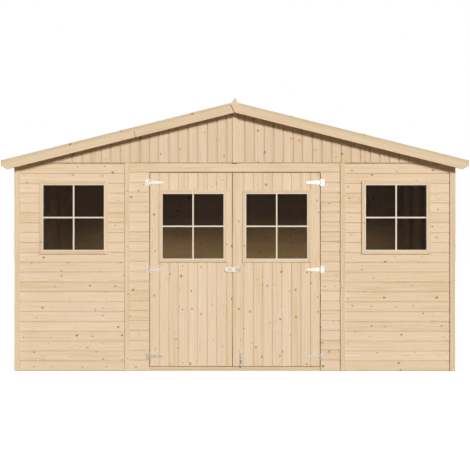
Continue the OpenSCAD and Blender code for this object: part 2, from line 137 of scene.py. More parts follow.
# Growth rings round a pith that lies behind the board: they meet the face as long arches
def addRings(tree, grain, push, look):
    slow = addNode(tree, "VectorMath", {"operation": "DIVIDE"},
                   {0: grain, 1: grainSize(*look["wander"])}).outputs[0]
    wobble = addNode(tree, "TexNoise", {}, {"Vector": slow, "Scale": 1.0, "Detail": 2.0}).outputs["Fac"]
    section = addNode(tree, "VectorMath", {"operation": "MULTIPLY"}, {0: grain, 1: (1, 0, 1)}).outputs[0]
    radial = addNode(tree, "VectorMath", {"operation": "LENGTH"}, {0: section}).outputs["Value"]
    along = addNode(tree, "SeparateXYZ", {}, {0: grain}).outputs[1]
    tapered = addNode(tree, "Math", {"operation": "MULTIPLY_ADD"},
                      {0: along, 1: look["taper"], 2: radial}).outputs[0]
    bent = addNode(tree, "Math", {"operation": "MULTIPLY_ADD"},
                   {0: wobble, 1: look["wobble"] * mm, 2: tapered}).outputs[0]
    pushed = addNode(tree, "Math", {"operation": "MULTIPLY_ADD"},
                     {0: push, 1: look["knotPush"], 2: bent}).outputs[0]
    count = addNode(tree, "Math", {"operation": "DIVIDE"}, {0: pushed, 1: look["ringGap"] * mm}).outputs[0]
    phase = addNode(tree, "Math", {"operation": "FRACT"}, {0: count}).outputs[0]
    latewood = addNode(tree, "ValToRGB", {}, {0: phase}, look["ringStops"]).outputs[0]
    whole = addNode(tree, "Math", {"operation": "FLOOR"}, {0: count}).outputs[0]
    odd = addNode(tree, "TexWhiteNoise", {"noise_dimensions": "1D"}, {"W": whole}).outputs["Value"]
    strength = addNode(tree, "MapRange", {}, {
        "Value": odd, "To Min": look["ringFaintest"], "To Max": 1.0}).outputs[0]
    return addNode(tree, "Math", {"operation": "MULTIPLY"}, {0: latewood, 1: strength}).outputs[0]


def makeWood(name, look):
    material, tree = startMaterial(name)
    grain = addNode(tree, "Attribute", {"attribute_name": "grain"}).outputs["Vector"]
    tone = addNode(tree, "Attribute", {"attribute_name": "tone"}).outputs["Fac"]
    ratio, mask, push = addKnots(tree, grain, look)
    rings = addRings(tree, grain, push, look)
    thin = addNode(tree, "VectorMath", {"operation": "DIVIDE"},
                   {0: grain, 1: grainSize(*look["fibre"])}).outputs[0]
    fibre = addNode(tree, "TexNoise", {}, {"Vector": thin, "Scale": 1.0, "Detail": 3.0}).outputs["Fac"]
    wide = addNode(tree, "VectorMath", {"operation": "DIVIDE"},
                   {0: grain, 1: grainSize(*look["drift"])}).outputs[0]
    drift = addNode(tree, "TexNoise", {}, {"Vector": wide, "Scale": 1.0, "Detail": 3.0}).outputs["Fac"]
    mixed = addNode(tree, "Math", {"operation": "MULTIPLY_ADD"},
                    {0: drift, 1: look["driftSpread"], 2: look["driftStart"]}).outputs[0]
    shade = addNode(tree, "Math", {"operation": "MULTIPLY_ADD"},
                    {0: tone, 1: look["toneSpread"], 2: mixed}).outputs[0]
    body = addNode(tree, "ValToRGB", {}, {0: shade}, look["tones"]).outputs[0]
    ringShare = addNode(tree, "Math", {"operation": "MULTIPLY"},
                        {0: rings, 1: look["ringStrength"]}).outputs[0]
    ringed = addNode(tree, "Mix", {"data_type": "RGBA"},
                     {0: ringShare, 6: body, 7: linear(look["latewood"])}).outputs[2]
    weakest, strongest = look["fibreSpan"]
    fibreShare = addNode(tree, "MapRange", {}, {
        "Value": fibre, "From Min": weakest, "From Max": strongest, "To Min": 0.0,
        "To Max": look["fibreStrength"]}).outputs[0]
    streaked = addNode(tree, "Mix", {"data_type": "RGBA"},
                       {0: fibreShare, 6: ringed, 7: linear(look["streak"])}).outputs[2]
    knot = addNode(tree, "ValToRGB", {}, {0: ratio}, look["knotTones"]).outputs[0]
    knotShare = addNode(tree, "Math", {"operation": "MULTIPLY"},
                        {0: mask, 1: look["knotStrength"]}).outputs[0]
    colour = addNode(tree, "Mix", {"data_type": "RGBA"},
                     {0: knotShare, 6: streaked, 7: knot}).outputs[2]
    relief = addNode(tree, "Math", {"operation": "MULTIPLY_ADD"},
                     {0: rings, 1: look["ringRelief"], 2: fibre}).outputs[0]
    bump = addNode(tree, "Bump", {}, {
        "Strength": look["relief"], "Distance": look["reliefDepth"] * mm, "Height": relief}).outputs[0]
    roughness = addNode(tree, "MapRange", {}, {
        "Value": drift, "To Min": look["roughness"] - look["roughnessSpread"],
        "To Max": look["roughness"] + look["roughnessSpread"]}).outputs[0]
    wood = addNode(tree, "BsdfPrincipled", {}, {
        "Base Color": colour, "Roughness": roughness, "Specular IOR Level": look["specular"], "Normal": bump})
    addNode(tree, "OutputMaterial", {}, {"Surface": wood.outputs[0]})
    return material


# Planed Nordic spruce, untreated: pale, from straw to pinkish, with fine arches and small brown knots.
# Lengths are in mm, and those of drift, wander and fibre run across and along the grain
spruceLook = {
    "tones": [(0.0, "#DCC29D"), (0.35, "#E5CFB0"), (0.65, "#E7D0B4"), (1.0, "#EDD9BC")],
    "toneSpread": 0.6, "drift": (16, 450), "driftSpread": 2.0, "driftStart": -0.8,
    "latewood": "#CBA97F", "ringGap": 4.6, "ringStrength": 0.4, "ringFaintest": 0.35,
    "ringStops": [(0.0, "#000000"), (0.45, "#202020"), (0.86, "#FFFFFF"), (1.0, "#000000")],
    "wander": (110, 590), "wobble": 30, "taper": 0.008,
    "streak": "#CFAF88", "fibre": (0.9, 45), "fibreSpan": (0.3, 0.75), "fibreStrength": 0.2,
    "knotAcross": 66, "knotAlong": 215, "knotShare": 0.8, "knotRadius": 10.5, "knotStretch": 1.3,
    "knotTones": [(0.0, "#A37C4C"), (0.55, "#8C6537"), (0.85, "#6F4B27"), (1.0, "#BF9A6B")],
    "knotScatter": 0.85, "knotLeast": 0.1, "knotEdge": (0.6, 1.4), "knotStrength": 0.9, "knotFaintest": 0.35,
    "knotPush": 1.6, "knotFall": 0.45,
    "relief": 0.35, "reliefDepth": 0.4, "ringRelief": 0.6,
    "roughness": 0.62, "roughnessSpread": 0.06, "specular": 0.3,
}
# Planed spruce picked for trim: cleaner, and a shade darker
trimLook = {**spruceLook,
            "tones": [(0.0, "#D6BC98"), (0.5, "#DEC7A6"), (1.0, "#E5D1B4")],
            "knotShare": 0.4, "knotRadius": 7, "ringStrength": 0.24}
# Gable boards: the same spruce a shade darker, as painted shade for the shadow that the roof overhang casts
# on the gable
gableShadedLook = {**spruceLook,
             "tones": [(0.0, "#D3BA95"), (0.35, "#DBC5A6"), (0.65, "#DDC6AA"), (1.0, "#E3CFB2")]}
# Sawn spruce framing: yellower and rougher, with larger knots
frameLook = {**spruceLook,
             "tones": [(0.0, "#D2B387"), (0.5, "#DABE94"), (1.0, "#E2C9A2")],
             "knotShare": 0.7, "knotRadius": 12, "fibreStrength": 0.35, "relief": 0.7, "roughness": 0.78}
# Spruce roof and floor boards: planed on one side, a little duller
deckLook = {**spruceLook,
            "tones": [(0.0, "#CBB695"), (0.5, "#D2BF9F"), (1.0, "#D8C7AA")],
            "knotShare": 0.65, "roughness": 0.7}


# Zinc-plated steel, pressed: bright and slightly warm, with soft clouds in the plating and a faint grit
zincLook = {"cloud": 11, "cloudSpan": (0.3, 0.7), "grit": 0.7, "tones": [(0.3, "#C6BCAE"), (0.7, "#D1C8BA")],
            "smoothest": 0.22, "roughest": 0.3, "relief": 0.06, "reliefDepth": 0.1}


def makeZinc(name, look):
    material, tree = startMaterial(name)
    place = addNode(tree, "TexCoord").outputs["Object"]
    cloud = addNode(tree, "TexNoise", {}, {
        "Vector": place, "Scale": 1000 / look["cloud"], "Detail": 4.0}).outputs["Fac"]
    grit = addNode(tree, "TexNoise", {}, {
        "Vector": place, "Scale": 1000 / look["grit"], "Detail": 2.0}).outputs["Fac"]
    colour = addNode(tree, "ValToRGB", {}, {0: cloud}, look["tones"]).outputs[0]
    darkest, palest = look["cloudSpan"]
    roughness = addNode(tree, "MapRange", {}, {
        "Value": cloud, "From Min": darkest, "From Max": palest,
        "To Min": look["smoothest"], "To Max": look["roughest"]}).outputs[0]
    bump = addNode(tree, "Bump", {}, {
        "Strength": look["relief"], "Distance": look["reliefDepth"] * mm, "Height": grit}).outputs[0]
    steel = addNode(tree, "BsdfPrincipled", {}, {
        "Base Color": colour, "Metallic": 1.0, "Roughness": roughness, "Normal": bump})
    addNode(tree, "OutputMaterial", {}, {"Surface": steel.outputs[0]})
    return material


# Grey-tinted float glass, 4 mm: it darkens the room behind it, and lamps shine through it
glassLook = {"film": 330, "tones": [(0.3, "#9A9D99"), (0.7, "#A2A5A1")], "through": "#9EA09C",
             "roughness": 0.02, "ior": 1.18}


def makeGlass(name, look):
    material, tree = startMaterial(name)
    place = addNode(tree, "TexCoord").outputs["Object"]
    film = addNode(tree, "TexNoise", {}, {
        "Vector": place, "Scale": 1000 / look["film"], "Detail": 3.0}).outputs["Fac"]
    colour = addNode(tree, "ValToRGB", {}, {0: film}, look["tones"]).outputs[0]
    pane = addNode(tree, "BsdfPrincipled", {}, {
        "Base Color": colour, "Roughness": look["roughness"], "IOR": look["ior"],
        "Transmission Weight": 1.0})
    through = addNode(tree, "BsdfTransparent", {}, {"Color": linear(look["through"])})
    rays = addNode(tree, "LightPath")
    glass = addNode(tree, "MixShader", {}, {
        0: rays.outputs["Is Shadow Ray"], 1: pane.outputs[0], 2: through.outputs[0]})
    addNode(tree, "OutputMaterial", {}, {"Surface": glass.outputs[0]})
    return material


# Glazing bars sealed with a thin cream primer: paler than the boards, and only the fibre shows through
primerLook = {"fibre": (1.1, 40), "tones": [(0.3, "#E3D5BD"), (0.7, "#EBDFCA")],
              "relief": 0.2, "reliefDepth": 0.2, "roughness": 0.5, "specular": 0.4}


def makePrimer(name, look):
    material, tree = startMaterial(name)
    grain = addNode(tree, "Attribute", {"attribute_name": "grain"}).outputs["Vector"]
    thin = addNode(tree, "VectorMath", {"operation": "DIVIDE"},
                   {0: grain, 1: grainSize(*look["fibre"])}).outputs[0]
    fibre = addNode(tree, "TexNoise", {}, {"Vector": thin, "Scale": 1.0, "Detail": 3.0}).outputs["Fac"]
    colour = addNode(tree, "ValToRGB", {}, {0: fibre}, look["tones"]).outputs[0]
    bump = addNode(tree, "Bump", {}, {
        "Strength": look["relief"], "Distance": look["reliefDepth"] * mm, "Height": fibre}).outputs[0]
    primer = addNode(tree, "BsdfPrincipled", {}, {
        "Base Color": colour, "Roughness": look["roughness"], "Specular IOR Level": look["specular"],
        "Normal": bump})
    addNode(tree, "OutputMaterial", {}, {"Surface": primer.outputs[0]})
    return material


spruce = makeWood("planed_spruce_boards", spruceLook)
spruceTrim = makeWood("planed_spruce_trim", trimLook)
spruceGableShaded = makeWood("planed_spruce_gable_boards_painted_shade", gableShadedLook)
spruceFrame = makeWood("sawn_spruce_framing", frameLook)
spruceDeck = makeWood("spruce_roof_and_floor_boards", deckLook)
zinc = makeZinc("zinc_plated_steel", zincLook)
primed = makePrimer("cream_primed_spruce", primerLook)
glass = makeGlass("grey_float_glass", glassLook)
print("materials made")


# How close meshes are worked, in mm and, for flat faces, in degrees
meshCare = {"merge": 0.02, "flat": 0.4, "cut": 0.001, "near": 0.1, "worthCutting": 0.05}
sameWay = 0.999  # cosine of two directions taken as one


# A merged copy of a CAD node's mesh, with its flat faces whole again
def copyNode(node):
    bm = bmesh.new()
    bm.from_mesh(frame["nodes"][node].data)
    bmesh.ops.remove_doubles(bm, verts=bm.verts, dist=meshCare["merge"] * mm)
    tidyFaces(bm)
    return bm


def tidyFaces(bm):
    bmesh.ops.dissolve_limit(bm, angle_limit=math.radians(meshCare["flat"]), verts=bm.verts, edges=bm.edges)


# Cuts away what lies beyond a plane, and closes the cut
def cutBeyond(bm, point, normal):
    if max((v.co - point).dot(normal) for v in bm.verts) < meshCare["worthCutting"] * mm:
        return
    bmesh.ops.bisect_plane(bm, geom=bm.verts[:] + bm.edges[:] + bm.faces[:], dist=meshCare["cut"] * mm,
                           plane_co=point, plane_no=normal, clear_outer=True)
    bmesh.ops.holes_fill(bm, edges=[e for e in bm.edges if e.is_boundary], sides=0)
    bmesh.ops.recalc_face_normals(bm, faces=bm.faces)
    tidyFaces(bm)


def bevelEdges(bm, edges, offset, segments=1):
    bmesh.ops.bevel(bm, geom=edges, offset=offset, offset_type="OFFSET", segments=segments,
                    profile=0.5, affect="EDGES", material=-1, clamp_overlap=True)


def sharpEdges(bm, degrees=35):
    return [e for e in bm.edges if len(e.link_faces) == 2 and e.calc_face_angle() > math.radians(degrees)]


def addInto(target, bm):
    mesh = bpy.data.meshes.new("part")
    bm.to_mesh(mesh)
    bm.free()
    target.from_mesh(mesh)
    bpy.data.meshes.remove(mesh)


def addBar(target, low, high):
    corner = bmesh.ops.create_cube(target, size=1)["verts"]
    bmesh.ops.scale(target, vec=high - low, verts=corner)
    bmesh.ops.translate(target, vec=(high + low) / 2, verts=corner)


# The separate solids of a mesh, as lists of vertices
def solidsOf(bm):
    bm.verts.ensure_lookup_table()
    bm.verts.index_update()
    seen = [False] * len(bm.verts)
    groups = []
    for start in bm.verts:
        if seen[start.index]:
            continue
        seen[start.index] = True
        group = [start]
        for vertex in group:
            for edge in vertex.link_edges:
                other = edge.other_vert(vertex)
                if not seen[other.index]:
                    seen[other.index] = True
                    group.append(other)
        groups.append(group)
    return groups


def cornersOf(verts):
    low = Vector([min(v.co[i] for v in verts) for i in range(3)])
    high = Vector([max(v.co[i] for v in verts) for i in range(3)])
    return low, high


# The boxes of a CAD node's separate solids
def boxesOf(node):
    bm = copyNode(node)
    boxes = [cornersOf(group) for group in solidsOf(bm)]
    bm.free()
    return boxes


# Gives each timber its own place in the log, in mm across, along and behind the face, and its own tone
logPlace = {"across": (-60, 60), "along": (0, 40000), "behind": (12, 80)}


def markGrain(bm, along, seed):
    random.seed(seed)
    grainLayer = bm.verts.layers.float_vector.new("grain")
    toneLayer = bm.verts.layers.float.new("tone")
    bm.faces.index_update()
    for group in solidsOf(bm):
        faces = {f.index: f for v in group for f in v.link_faces}
        widest = max(faces.values(), key=lambda f: f.calc_area())
        edges = {e.index: e for f in faces.values() for e in f.edges}
        longest = max(edges.values(), key=lambda e: e.calc_length())
        run = along or (longest.verts[1].co - longest.verts[0].co).normalized()
        side = run.cross(widest.normal).normalized()
        depth = side.cross(run)
        centre = sum((v.co for v in group), Vector()) / len(group)
        shift = Vector([random.uniform(*logPlace[way]) for way in ("across", "along", "behind")]) * mm
        tone = random.random()
        for v in group:
            local = v.co - centre
            v[grainLayer] = Vector((local.dot(side), local.dot(run), local.dot(depth))) + shift
            v[toneLayer] = tone


def makePiece(name, bm, material, body, replaced=(), smooth=None):
    mesh = bpy.data.meshes.new(name)
    bm.to_mesh(mesh)
    bm.free()
    mesh.materials.append(material)
    if smooth:
        mesh.polygons.foreach_set("use_smooth", [True] * len(mesh.polygons))
        mesh.set_sharp_from_angle(angle=math.radians(smooth))
    piece = bpy.data.objects.new(name, mesh)
    bpy.context.scene.collection.objects.link(piece)
    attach(piece, body)
    if replaced:
        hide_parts(*replaced)
    return piece


# One board of a panel: its front part stands between narrow gaps and has chamfered edges
def sawBoard(bm, along, outward, face, joint):
    bottom = face - joint["gapDepth"] * mm
    cutBeyond(bm, outward * bottom, outward)
    front = [f for f in bm.faces if f.normal.dot(outward) > sameWay
             and abs(f.calc_center_median().dot(outward) - bottom) < meshCare["near"] * mm]
    bmesh.ops.inset_individual(bm, faces=front, thickness=joint["gap"] / 2 * mm, use_even_offset=True)
    raised = bmesh.ops.extrude_discrete_faces(bm, faces=front)["faces"]
    bmesh.ops.translate(bm, verts=[v for f in raised for v in f.verts], vec=outward * joint["gapDepth"] * mm)
    bmesh.ops.recalc_face_normals(bm, faces=bm.faces)
    longEdges = [e for f in raised for e in f.edges
                 if abs((e.verts[1].co - e.verts[0].co).normalized().dot(along)) > sameWay]
    bevelEdges(bm, longEdges, joint["chamfer"] * mm)


# A strip too thin to keep between a joint and an opening is left out: the opening runs up to the joint
def openStrips(board, across, low, high, thinnest):
    for v in board.verts:
        place = v.co.dot(across)
        if meshCare["near"] * mm < high - place < thinnest:
            v.co += across * 2 * thinnest
        elif meshCare["near"] * mm < place - low < thinnest:
            v.co -= across * 2 * thinnest


# Saws a CAD panel into boards at the given places across it
def sawPanel(node, across, along, outward, joints, joint, rear):
    whole = copyNode(node)
    reach = [v.co.dot(across) for v in whole.verts]
    face = max(v.co.dot(outward) for v in whole.verts)
    rearFace = max(-v.co.dot(outward) for v in whole.verts)
    least = joint["least"] * mm
    cuts = [min(reach), *[j for j in joints if min(reach) + least < j < max(reach) - least], max(reach)]
    target = bmesh.new()
    for low, high in zip(cuts, cuts[1:]):
        board = whole.copy()
        openStrips(board, across, low, high, joint["strip"] * mm)
        cutBeyond(board, across * high, across)
        cutBeyond(board, across * low, -across)
        sawBoard(board, along, outward, face, joint)
        sawBoard(board, along, -outward, rearFace, rear)
        addInto(target, board)
    whole.free()
    return target


# Places at an even pitch, from mm to metres
def runs(first, pitch, count):
    return [(first + i * pitch) * mm for i in range(count)]


def dressPanel(node, across, along, outward, joints, joint, material, seed, rear=None):
    bm = sawPanel(node, across, along, outward, joints, joint, rear or rearJoint)
    markGrain(bm, along, seed)
    makePiece(node + "_sawn", bm, material, frame["nodes"][node]["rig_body"], [node])


# Matchboard with V joints, 88 mm to the weather: "least" is the narrowest board kept at a panel's edge,
# and "strip" the thinnest kept beside an opening. Joints with neither are for the backs of boards
boardJoint = {"gap": 3.8, "gapDepth": 8, "chamfer": 4.4, "least": 12, "strip": 8}
leafJoint = {"gap": 3.0, "gapDepth": 8, "chamfer": 2.8, "least": 12, "strip": 0}
gableJoint = {"gap": 3.0, "gapDepth": 10, "chamfer": 7.5, "least": 12, "strip": 0}
rearJoint = {"gap": 4.0, "gapDepth": 5, "chamfer": 1.5}
wallBoards = {"first": 88, "pitch": 88, "count": 24}
stripBoards = {"first": 8, "pitch": 88, "count": 20}
gableBoards = {"left": -76, "middle": 4, "right": 85, "pitch": 86, "count": 24}
leafBoards = {"first": 77.5, "pitch": 85.2, "count": 8}
deckBoards = {"pitch": 88}

wallJoints = runs(wallBoards["first"], wallBoards["pitch"], wallBoards["count"])
for seed, (node, outward, along) in enumerate([
        ("front_left_boards", -backwards, acrossFront), ("front_right_boards", -backwards, acrossFront),
        ("back_wall_boards", backwards, acrossFront),
        ("left_wall_boards", -acrossFront, backwards), ("right_wall_boards", acrossFront, backwards)]):
    dressPanel(node, upwards, along, outward, wallJoints, boardJoint, spruce, seed)

stripJoints = runs(stripBoards["first"], stripBoards["pitch"], stripBoards["count"])
dressPanel("door_side_boards", upwards, acrossFront, -backwards, stripJoints, boardJoint, spruce,
           11)
dressPanel("door_header", upwards, acrossFront, -backwards, [], boardJoint, spruce, 12)

gableJoints = sorted([gableBoards["middle"] * mm,
                      *runs(gableBoards["left"], -gableBoards["pitch"], gableBoards["count"]),
                      *runs(gableBoards["right"], gableBoards["pitch"], gableBoards["count"])])
# Both gables take the darker spruce, which paints the overhang's shade into their colour
dressPanel("front_gable_boards", acrossFront, upwards, -backwards, gableJoints, gableJoint,
           spruceGableShaded, 13)
dressPanel("back_gable_boards", acrossFront, upwards, backwards, gableJoints, gableJoint,
           spruceGableShaded, 14)

leafJoints = runs(leafBoards["first"], leafBoards["pitch"], leafBoards["count"])
dressPanel("right_door_boards", acrossFront, upwards, -backwards, leafJoints, leafJoint,
           spruce, 15)
dressPanel("left_door_boards", acrossFront, upwards, -backwards, sorted(-j for j in leafJoints),
           leafJoint, spruce, 16)
print("wall, gable and door boards sawn")


# Joints at an even pitch over a node's whole width, depth or height
def evenJoints(node, axis, pitch):
    low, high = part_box(node)
    count = int((high[axis] - low[axis]) / (pitch * mm))
    return [low[axis] + (i + 1) * pitch * mm for i in range(count)]


# Roof boards run down the slope, with their V joints on the side that shows from the room
roofJoint = {"gap": 2.7, "gapDepth": 5, "chamfer": 1.5}
eaves = max(frame["nodes"]["roof_right"].data.vertices, key=lambda v: (v.co.x, v.co.z)).co
ridge = max(frame["nodes"]["roof_right"].data.vertices, key=lambda v: v.co.z).co
for seed, (node, side) in enumerate([("roof_right", 1), ("roof_left", -1)]):
    down = Vector((side * (eaves.x - ridge.x), 0, eaves.z - ridge.z)).normalized()
    under = Vector((side * down.z, 0, -abs(down.x)))
    joints = evenJoints(node, 1, deckBoards["pitch"])
    dressPanel(node, backwards, down, under, joints, boardJoint, spruceDeck, 20 + seed, roofJoint)

floorJoint = {"gap": 1.5, "gapDepth": 6, "chamfer": 1.0, "least": 12, "strip": 0}
floorJoints = evenJoints("floor_boards", 0, deckBoards["pitch"])
dressPanel("floor_boards", acrossFront, backwards, upwards, floorJoints, floorJoint, spruceDeck, 24)
print("roof and floor boards sawn")


# A CAD node of posts, rails or battens with eased edges, each solid with its own grain
def dressTimbers(node, material, seed, ease=1.5, segments=1, along=None, cuts=()):
    bm = copyNode(node)
    if cuts:
        bm = cutApart(bm, cuts)
    bevelEdges(bm, sharpEdges(bm), ease * mm, segments)
    markGrain(bm, along, seed)
    makePiece(node + "_dressed", bm, material, frame["nodes"][node]["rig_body"], [node])


# Splits a mesh at planes into all the blocks between them
def cutApart(bm, planes):
    parts = [bm]
    for point, normal in planes:
        halves = []
        for part in parts:
            other = part.copy()
            cutBeyond(part, point, normal)
            cutBeyond(other, point, -normal)
            halves += [half for half in (part, other) if half.verts]
        parts = halves
    target = bmesh.new()
    for part in parts:
        addInto(target, part)
    return target


for seed, node in enumerate(["end_wall_posts", "end_wall_rails", "side_wall_posts", "side_wall_rails",
                             "gable_ties", "gable_rafters", "gable_posts", "purlins", "floor_bearers",
                             "left_door_ledges", "right_door_ledges"]):
    dressTimbers(node, spruceFrame, 30 + seed)
for seed, node in enumerate(["end_wall_battens", "side_wall_battens", "door_strip"]):
    dressTimbers(node, spruceTrim, 50 + seed, ease=2.5, segments=2)


# The ends of the roof boards show as a thin band over each barge board. A barge board made of two
# lengths has its butt joint on the front, "buttAt" mm from the middle, and is whole on the back
bargeLook = {"band": 24, "bandBack": 2, "ease": 2.0, "buttAt": -890, "buttGap": 3.5}


def dressBarge(node, side, butt, seed):
    down = Vector((side * (eaves.x - ridge.x), 0, eaves.z - ridge.z)).normalized()
    over = Vector((-side * down.z, 0, abs(down.x)))
    bm = copyNode(node)
    low, high = cornersOf(bm.verts)
    top = max((v.co for v in bm.verts), key=lambda co: co.dot(over))
    bandFoot = top - over * bargeLook["band"] * mm
    band = bm.copy()
    cutBeyond(bm, bandFoot, over)
    cutBeyond(band, bandFoot, -over)
    cutBeyond(band, Vector((0, low.y + bargeLook["bandBack"] * mm, 0)), -backwards)
    cutBeyond(band, Vector((0, high.y - bargeLook["bandBack"] * mm, 0)), backwards)
    if butt:
        back = bm.copy()
        cutBeyond(back, Vector(), -backwards)
        cutBeyond(bm, Vector(), backwards)
        outer = bm.copy()
        buttX = bargeLook["buttAt"] * mm
        place = Vector((buttX, 0, bandFoot.z + (buttX - bandFoot.x) * down.z / down.x))
        cutBeyond(bm, place - down * bargeLook["buttGap"] / 2 * mm, down)
        cutBeyond(outer, place + down * bargeLook["buttGap"] / 2 * mm, -down)
        addInto(bm, outer)
        addInto(bm, back)
    bevelEdges(bm, sharpEdges(bm), bargeLook["ease"] * mm, 2)
    markGrain(bm, down, seed)
    markGrain(band, down, seed + 10)
    body = frame["nodes"][node]["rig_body"]
    makePiece(node + "_dressed", bm, spruceTrim, body, [node])
    makePiece(node + "_top_band", band, spruceDeck, body)


dressBarge("left_barge_boards", -1, True, 55)
dressBarge("right_barge_boards", 1, False, 56)
dressTimbers("finials", spruceTrim, 58, ease=2.0, segments=2, along=upwards)
dressTimbers("door_sill", spruceTrim, 59, ease=2.0, cuts=[(Vector(), acrossFront)])
print("timbers dressed")


# Four bars round an opening: the stiles run the full height and the rails fit between them
def frameBars(target, low, high, width):
    for left, right in [(low.x, low.x + width), (high.x - width, high.x)]:
        addBar(target, Vector((left, low.y, low.z)), Vector((right, high.y, high.z)))
    for foot, head in [(low.z, low.z + width), (high.z - width, high.z)]:
        addBar(target, Vector((low.x + width, low.y, foot)), Vector((high.x - width, high.y, head)))


# Trim, a primed rim with crossed glazing bars on both faces of the pane, and beads behind it
def dressWindow(trim, glassNode, look, seed):
    body = frame["nodes"][trim]["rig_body"]
    outer = bmesh.new()
    bars = bmesh.new()
    beads = bmesh.new()
    half = look["bar"] / 2 * mm
    rim = look["rim"] * mm
    width = look["trim"] * mm
    depth = look["barDepth"] * mm
    bead = look["bead"] * mm
    for (low, high), (paneLow, paneHigh) in zip(boxesOf(trim), boxesOf(glassNode)):
        frameBars(outer, low, high, width - rim)
        inset = Vector((width, 0, width))
        seen = low + inset, high - inset
        edge = Vector((rim, 0, rim))
        rimFront = Vector((0, look["rimBack"] * mm, 0))
        rimBack = Vector((seen[1].x + rim, paneLow.y, seen[1].z + rim))
        frameBars(bars, seen[0] - edge + rimFront, rimBack, rim)
        middle = (seen[0] + seen[1]) / 2
        for front, back in [(paneLow.y - depth, paneLow.y), (paneHigh.y, paneHigh.y + depth)]:
            addBar(bars, Vector((middle.x - half, front, seen[0].z)),
                   Vector((middle.x + half, back, seen[1].z)))
            for left, right in [(seen[0].x, middle.x - half), (middle.x + half, seen[1].x)]:
                addBar(bars, Vector((left, front, middle.z - half)), Vector((right, back, middle.z + half)))
        frameBars(beads, Vector((paneLow.x, paneHigh.y, paneLow.z)),
                  Vector((paneHigh.x, paneHigh.y + bead, paneHigh.z)), bead)
    for part, ease in [(outer, look["ease"]), (bars, look["barEase"]), (beads, look["barEase"])]:
        bevelEdges(part, sharpEdges(part), ease * mm, 2)
        markGrain(part, None, seed)
    makePiece(trim + "_bars", outer, spruceTrim, body, [trim])
    makePiece(trim + "_glazing_bars", bars, primed, body)
    makePiece(trim + "_beads", beads, spruceTrim, body)


windowLook = {"trim": 38, "rim": 9, "rimBack": 2, "bar": 13.5, "barDepth": 9, "bead": 11,
              "ease": 2.0, "barEase": 1.5}
leafLook = {**windowLook, "trim": 34, "bar": 13, "barDepth": 8}
dressWindow("window_trim", "window_glass", windowLook, 61)
dressWindow("left_door_trim", "left_door_glass", leafLook, 62)
dressWindow("right_door_trim", "right_door_glass", leafLook, 63)
for node in ["window_glass", "left_door_glass", "right_door_glass"]:
    for materialSlot in frame["nodes"][node].material_slots:
        materialSlot.material = glass
print("windows glazed")


# Pressed and turned steel with its edges taken off
metalLook = {"edge": 0.35, "sharpFrom": 50, "smooth": 30}


def dressMetal(node):
    bm = copyNode(node)
    bevelEdges(bm, sharpEdges(bm, metalLook["sharpFrom"]), metalLook["edge"] * mm)
    makePiece(node + "_plated", bm, zinc, frame["nodes"][node]["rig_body"], [node],
              smooth=metalLook["smooth"])


for node in ["hinge_plates", "left_hinge_straps", "right_hinge_straps", "hasp_staple", "hasp_plate",
             "hasp_flap", "bolt_plate", "bolt_rod"]:
    dressMetal(node)


# Screw and nail heads, in shares of their own radius and height
headLook = {"top": 0.82, "rim": 0.25, "recess": 0.5, "sunk": 0.6, "sides": 12,
            "nailTop": 0.8, "nailSides": 10}


# A pan head with a six-pointed recess, its seat at the origin and its top along +Z
def screwShape(look):
    bm = bmesh.new()
    radius = look["radius"] * mm
    height = look["height"] * mm
    bmesh.ops.create_cone(bm, cap_ends=True, segments=headLook["sides"], radius1=radius,
                          radius2=radius * headLook["top"], depth=height)
    cap = max(bm.faces, key=lambda f: f.calc_center_median().z)
    bmesh.ops.inset_individual(bm, faces=[cap], thickness=radius * headLook["rim"])
    for v in list(cap.verts)[::2]:
        v.co.x *= headLook["recess"]
        v.co.y *= headLook["recess"]
    sunk = bmesh.ops.extrude_discrete_faces(bm, faces=[cap])["faces"]
    bmesh.ops.translate(bm, verts=sunk[0].verts, vec=(0, 0, -height * headLook["sunk"]))
    bmesh.ops.translate(bm, verts=bm.verts, vec=(0, 0, height / 2))
    bmesh.ops.recalc_face_normals(bm, faces=bm.faces)
    mesh = bpy.data.meshes.new("screw")
    bm.to_mesh(mesh)
    bm.free()
    return mesh


# Puts copies of a small shape on a face that looks along a normal
def addCopies(target, shape, places, normal):
    turn = normal.to_track_quat("Z", "Y").to_matrix().to_4x4()
    for place in places:
        count = len(target.verts)
        target.from_mesh(shape)
        bmesh.ops.transform(target, matrix=Matrix.Translation(place) @ turn, verts=target.verts[:][count:])


# Screws on the flat of each solid of a node, a plate's thickness before its back. Spots are in mm from
# the solid's own middle: away from the middle of the doorway, and up
def screwDown(node, spots, look):
    bm = bmesh.new()
    shape = screwShape(look)
    for low, high in boxesOf(node):
        middle = (low + high) / 2
        side = 1 if middle.x > 0 else -1
        face = high.y - look["plate"] * mm
        places = [Vector((middle.x + side * x * mm, face, middle.z + z * mm)) for x, z in spots]
        addCopies(bm, shape, places, -backwards)
    bpy.data.meshes.remove(shape)
    makePiece(node + "_screws", bm, zinc, frame["nodes"][node]["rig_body"],
              smooth=metalLook["smooth"])


# A flat round nail head
def nailShape(look):
    bm = bmesh.new()
    bmesh.ops.create_cone(bm, cap_ends=True, segments=headLook["nailSides"], radius1=look["radius"] * mm,
                          radius2=look["radius"] * headLook["nailTop"] * mm, depth=2 * look["height"] * mm)
    mesh = bpy.data.meshes.new("nail")
    bm.to_mesh(mesh)
    bm.free()
    return mesh


# Even places along a line, no further apart than the spacing, the first and last inset from its ends
def placesAlong(start, end, inset, spacing):
    way = (end - start).normalized()
    first = start + way * inset * mm
    last = end - way * inset * mm
    count = max(1, math.ceil((last - first).length / (spacing * mm)))
    return [first.lerp(last, i / count) for i in range(count + 1)]


